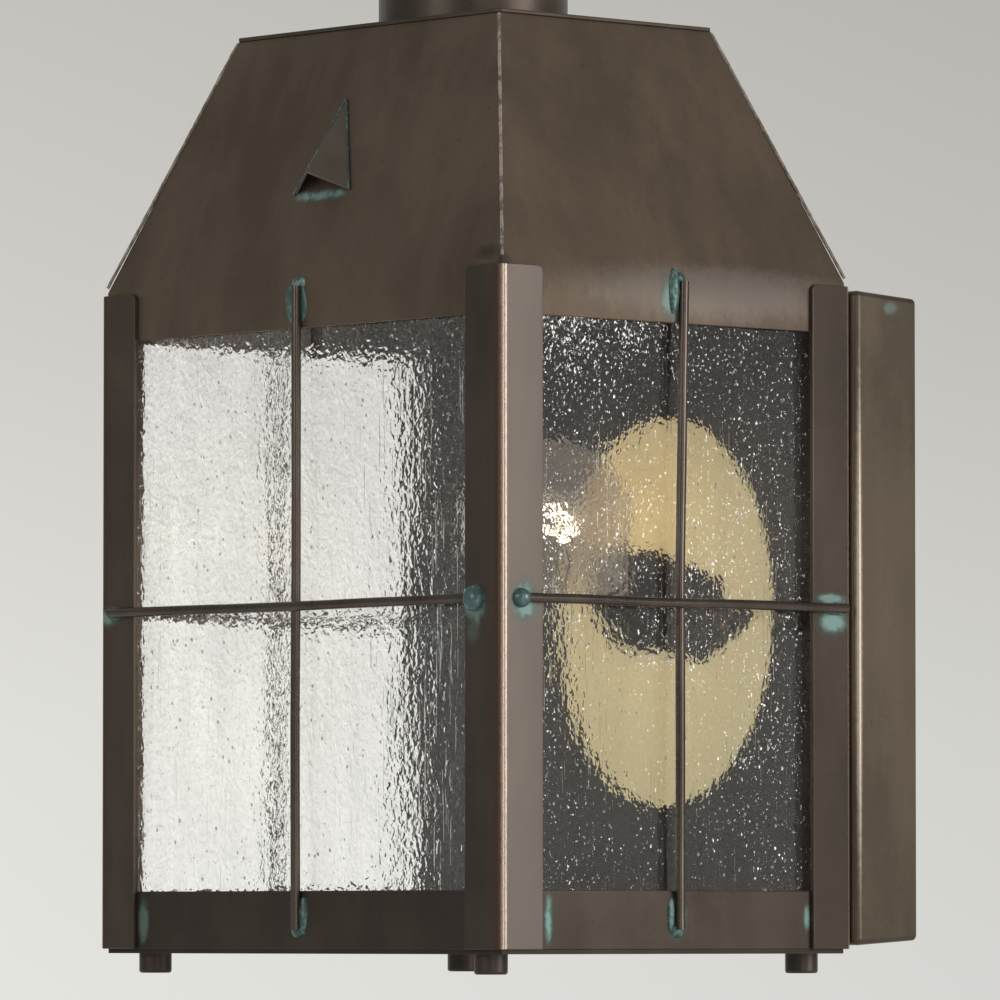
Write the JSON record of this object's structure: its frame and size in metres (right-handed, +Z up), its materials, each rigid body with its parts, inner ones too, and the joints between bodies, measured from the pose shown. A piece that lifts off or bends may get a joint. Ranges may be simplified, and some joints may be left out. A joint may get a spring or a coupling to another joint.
{
  "type": "wall lantern",
  "caption": "Weathered bronze wall lantern with seedy glass panes, crossed guard rods, a pyramid roof with a vent hood and chimney, a lamp inside and a wall pan.",
  "frame": {"origin": "middle of the cable hole in the wall strap, on the wall plane", "axes": "+Z up, -Y out from the wall towards the front of the lantern, +X to the right as seen from the front"},
  "size_m": [0.1982, 0.1774, 0.3548],
  "materials": {
    "aged_bronze": "weathered dark bronze patina",
    "rod_bronze": "dark patina, worn bright along the top",
    "foot_bronze": "turned, dark patina",
    "solder_verdigris": "solder with blue-green verdigris",
    "seedy_glass": "clear, wavy, with seeds and streaks",
    "reflector_brass": "satin lacquered brass",
    "bright_brass": "machined brass, slightly dulled",
    "socket_black": "moulded phenolic",
    "bulb_glass": "clear, smooth",
    "bulb_metal": "plated, dull",
    "filament_wire": "fine drawn wire",
    "zinc_steel": "zinc plated",
    "ground_green": "green painted screw"
  },
  "bodies": {
    "lantern": {"post_front_left": "aged_bronze", "post_front_right": "aged_bronze", "post_rear_left": "aged_bronze", "post_rear_right": "aged_bronze", "rail_front": "aged_bronze", "rail_back": "aged_bronze", "rail_left": "aged_bronze", "rail_right": "aged_bronze", "roof_shell": "aged_bronze", "roof_top_plate": "aged_bronze", "chimney_tube": "aged_bronze", "chimney_cap": "aged_bronze", "cap_legs": "aged_bronze", "vent_hood": "aged_bronze", "wall_pan": "aged_bronze", "back_panel": "aged_bronze", "hip_seams": "solder_verdigris", "rod_solder_beads": "solder_verdigris", "glass_front": "seedy_glass", "glass_left": "seedy_glass", "glass_right": "seedy_glass", "glass_tabs": "aged_bronze", "rod_front_level": "rod_bronze", "rod_front_upright": "rod_bronze", "rod_left_level": "rod_bronze", "rod_left_upright": "rod_bronze", "rod_right_level": "rod_bronze", "rod_right_upright": "rod_bronze", "reflector": "reflector_brass", "socket_plate": "aged_bronze", "plate_screws": "bright_brass", "socket_body": "socket_black", "socket_shell": "bright_brass", "socket_contact": "bright_brass", "wall_strap": "zinc_steel", "strap_studs": "zinc_steel", "stud_lock_nuts": "zinc_steel", "mounting_nuts": "bright_brass", "ground_screw": "ground_green", "base_studs": "bright_brass", "base_lock_nuts": "bright_brass"},
    "bulb": {"bulb_glass": "bulb_glass", "bulb_cap": "bulb_metal", "bulb_contact": "bulb_metal", "bulb_stem": "bulb_glass", "bulb_filament": "filament_wire"},
    "base_plate": {"base_plate": "aged_bronze"},
    "foot_front_left": {"foot_front_left": "foot_bronze"},
    "foot_front_right": {"foot_front_right": "foot_bronze"},
    "foot_rear_left": {"foot_rear_left": "foot_bronze"},
    "foot_rear_right": {"foot_rear_right": "foot_bronze"}
  },
  "joints": [
    {"name": "bulb_turn", "type": "hinge", "parent": "lantern", "child": "bulb", "pos_m": [0, -0.0323, 0.0076], "axis": [0, -0.8192, 0.5736], "continuous": true},
    {"name": "base_plate_drop", "type": "slide", "parent": "lantern", "child": "base_plate", "axis": [0, 0, -1], "range_m": [0, 0.08]},
    {"name": "foot_front_left_turn", "type": "hinge", "parent": "base_plate", "child": "foot_front_left", "pos_m": [-0.07975, -0.164, -0.1054], "axis": [0, 0, 1], "continuous": true},
    {"name": "foot_front_right_turn", "type": "hinge", "parent": "base_plate", "child": "foot_front_right", "pos_m": [0.07975, -0.164, -0.1054], "axis": [0, 0, 1], "continuous": true},
    {"name": "foot_rear_left_turn", "type": "hinge", "parent": "base_plate", "child": "foot_rear_left", "pos_m": [-0.07975, -0.033, -0.1054], "axis": [0, 0, 1], "continuous": true},
    {"name": "foot_rear_right_turn", "type": "hinge", "parent": "base_plate", "child": "foot_rear_right", "pos_m": [0.07975, -0.033, -0.1054], "axis": [0, 0, 1], "continuous": true}
  ]
}
